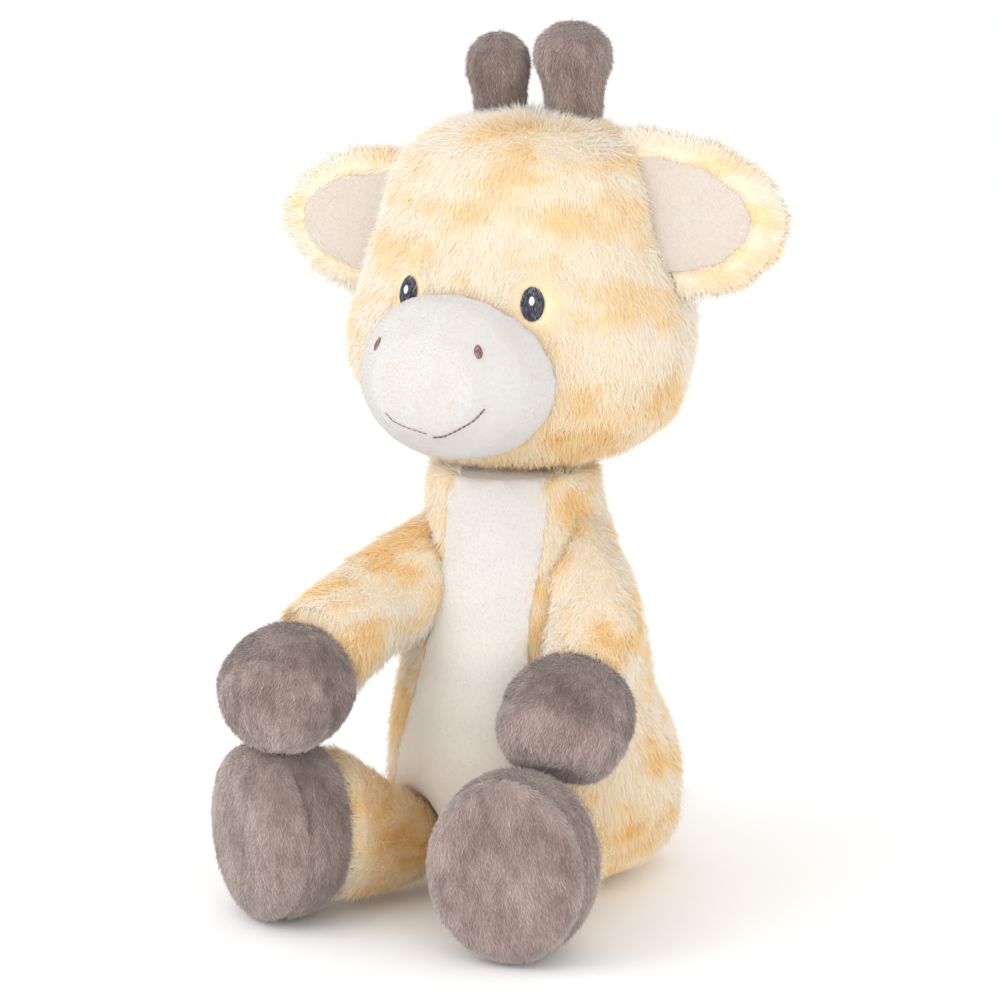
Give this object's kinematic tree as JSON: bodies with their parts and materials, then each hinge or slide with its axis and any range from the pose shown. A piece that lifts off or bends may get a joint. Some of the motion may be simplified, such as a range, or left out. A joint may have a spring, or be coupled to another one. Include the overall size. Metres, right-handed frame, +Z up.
{
  "type": "plush giraffe",
  "caption": "Seated stuffed giraffe with long-pile fur, velour belly and muzzle, soft hooves and horns; head, limbs, ears, horns and tail move.",
  "frame": {"origin": "centre of the flat seat under the body", "axes": "+Z up along the sitting height, -Y the way the toy faces, +X the toy's own left"},
  "size_m": [0.2312, 0.2674, 0.3605],
  "materials": {
    "butter_fur": "long soft pile, cream with butter-yellow patches",
    "cream_velour": "short smooth pile",
    "taupe_velboa": "short brushed pile",
    "white_filling": "loose polyester fibre",
    "pellet_linen": "plain woven pouch with pellets",
    "dark_thread": "satin stitch"
  },
  "bodies": {
    "torso": {"body_cover": "butter_fur", "belly_panel": "cream_velour", "body_stuffing": "white_filling", "pellet_bag": "pellet_linen"},
    "head": {"head_cover": "butter_fur", "head_stuffing": "white_filling", "muzzle": "cream_velour", "eye_left": "dark_thread", "eye_right": "dark_thread", "nostril_left": "dark_thread", "nostril_right": "dark_thread"},
    "left_ear": {"ear_left": "butter_fur", "ear_lining_left": "cream_velour"},
    "right_ear": {"ear_right": "butter_fur", "ear_lining_right": "cream_velour"},
    "left_horn": {"horn_left": "taupe_velboa"},
    "right_horn": {"horn_right": "taupe_velboa"},
    "left_arm": {"arm_left": "butter_fur", "arm_stuffing_left": "white_filling", "hand_hoof_left": "taupe_velboa"},
    "right_arm": {"arm_right": "butter_fur", "arm_stuffing_right": "white_filling", "hand_hoof_right": "taupe_velboa"},
    "left_leg": {"leg_left": "butter_fur", "leg_stuffing_left": "white_filling", "foot_left": "taupe_velboa", "sole_left": "taupe_velboa"},
    "right_leg": {"leg_right": "butter_fur", "leg_stuffing_right": "white_filling", "foot_right": "taupe_velboa", "sole_right": "taupe_velboa"},
    "tail": {"tail": "butter_fur", "tail_tuft": "taupe_velboa"}
  },
  "joints": [
    {"name": "neck_turn", "type": "hinge", "parent": "torso", "child": "head", "pos_m": [0, -0.013, 0.18], "axis": [0, 0, 1], "range_deg": [-25, 25]},
    {"name": "shoulder_left_lift", "type": "hinge", "parent": "torso", "child": "left_arm", "pos_m": [0.0307, -0.0148, 0.147], "axis": [-1, 0, 0], "range_deg": [0, 45]},
    {"name": "shoulder_right_lift", "type": "hinge", "parent": "torso", "child": "right_arm", "pos_m": [-0.0307, -0.0148, 0.147], "axis": [-1, 0, 0], "range_deg": [0, 45]},
    {"name": "hip_left_splay", "type": "hinge", "parent": "torso", "child": "left_leg", "pos_m": [0.035, -0.062, 0.0235], "axis": [0, 0, 1], "range_deg": [0, 15]},
    {"name": "hip_right_splay", "type": "hinge", "parent": "torso", "child": "right_leg", "pos_m": [-0.035, -0.062, 0.0235], "axis": [0, 0, -1], "range_deg": [0, 15]},
    {"name": "ear_left_bend", "type": "hinge", "parent": "head", "child": "left_ear", "pos_m": [0.06225, -0.011, 0.285], "axis": [-0.4384, 0, 0.8988], "range_deg": [-10, 10], "stiffness_Nm_per_rad": 0.05},
    {"name": "ear_right_bend", "type": "hinge", "parent": "head", "child": "right_ear", "pos_m": [-0.06467, -0.011, 0.276], "axis": [0.4384, 0, 0.8988], "range_deg": [-10, 10], "stiffness_Nm_per_rad": 0.05},
    {"name": "horn_left_bend", "type": "hinge", "parent": "head", "child": "left_horn", "pos_m": [0.017, 0.001, 0.325], "axis": [1, 0, 0], "range_deg": [-8, 8], "stiffness_Nm_per_rad": 0.05},
    {"name": "horn_right_bend", "type": "hinge", "parent": "head", "child": "right_horn", "pos_m": [-0.017, 0.001, 0.325], "axis": [1, 0, 0], "range_deg": [-8, 8], "stiffness_Nm_per_rad": 0.05},
    {"name": "tail_swing", "type": "hinge", "parent": "torso", "child": "tail", "pos_m": [0, 0.06308, 0.03], "axis": [0, 0, 1], "range_deg": [-20, 20]}
  ]
}
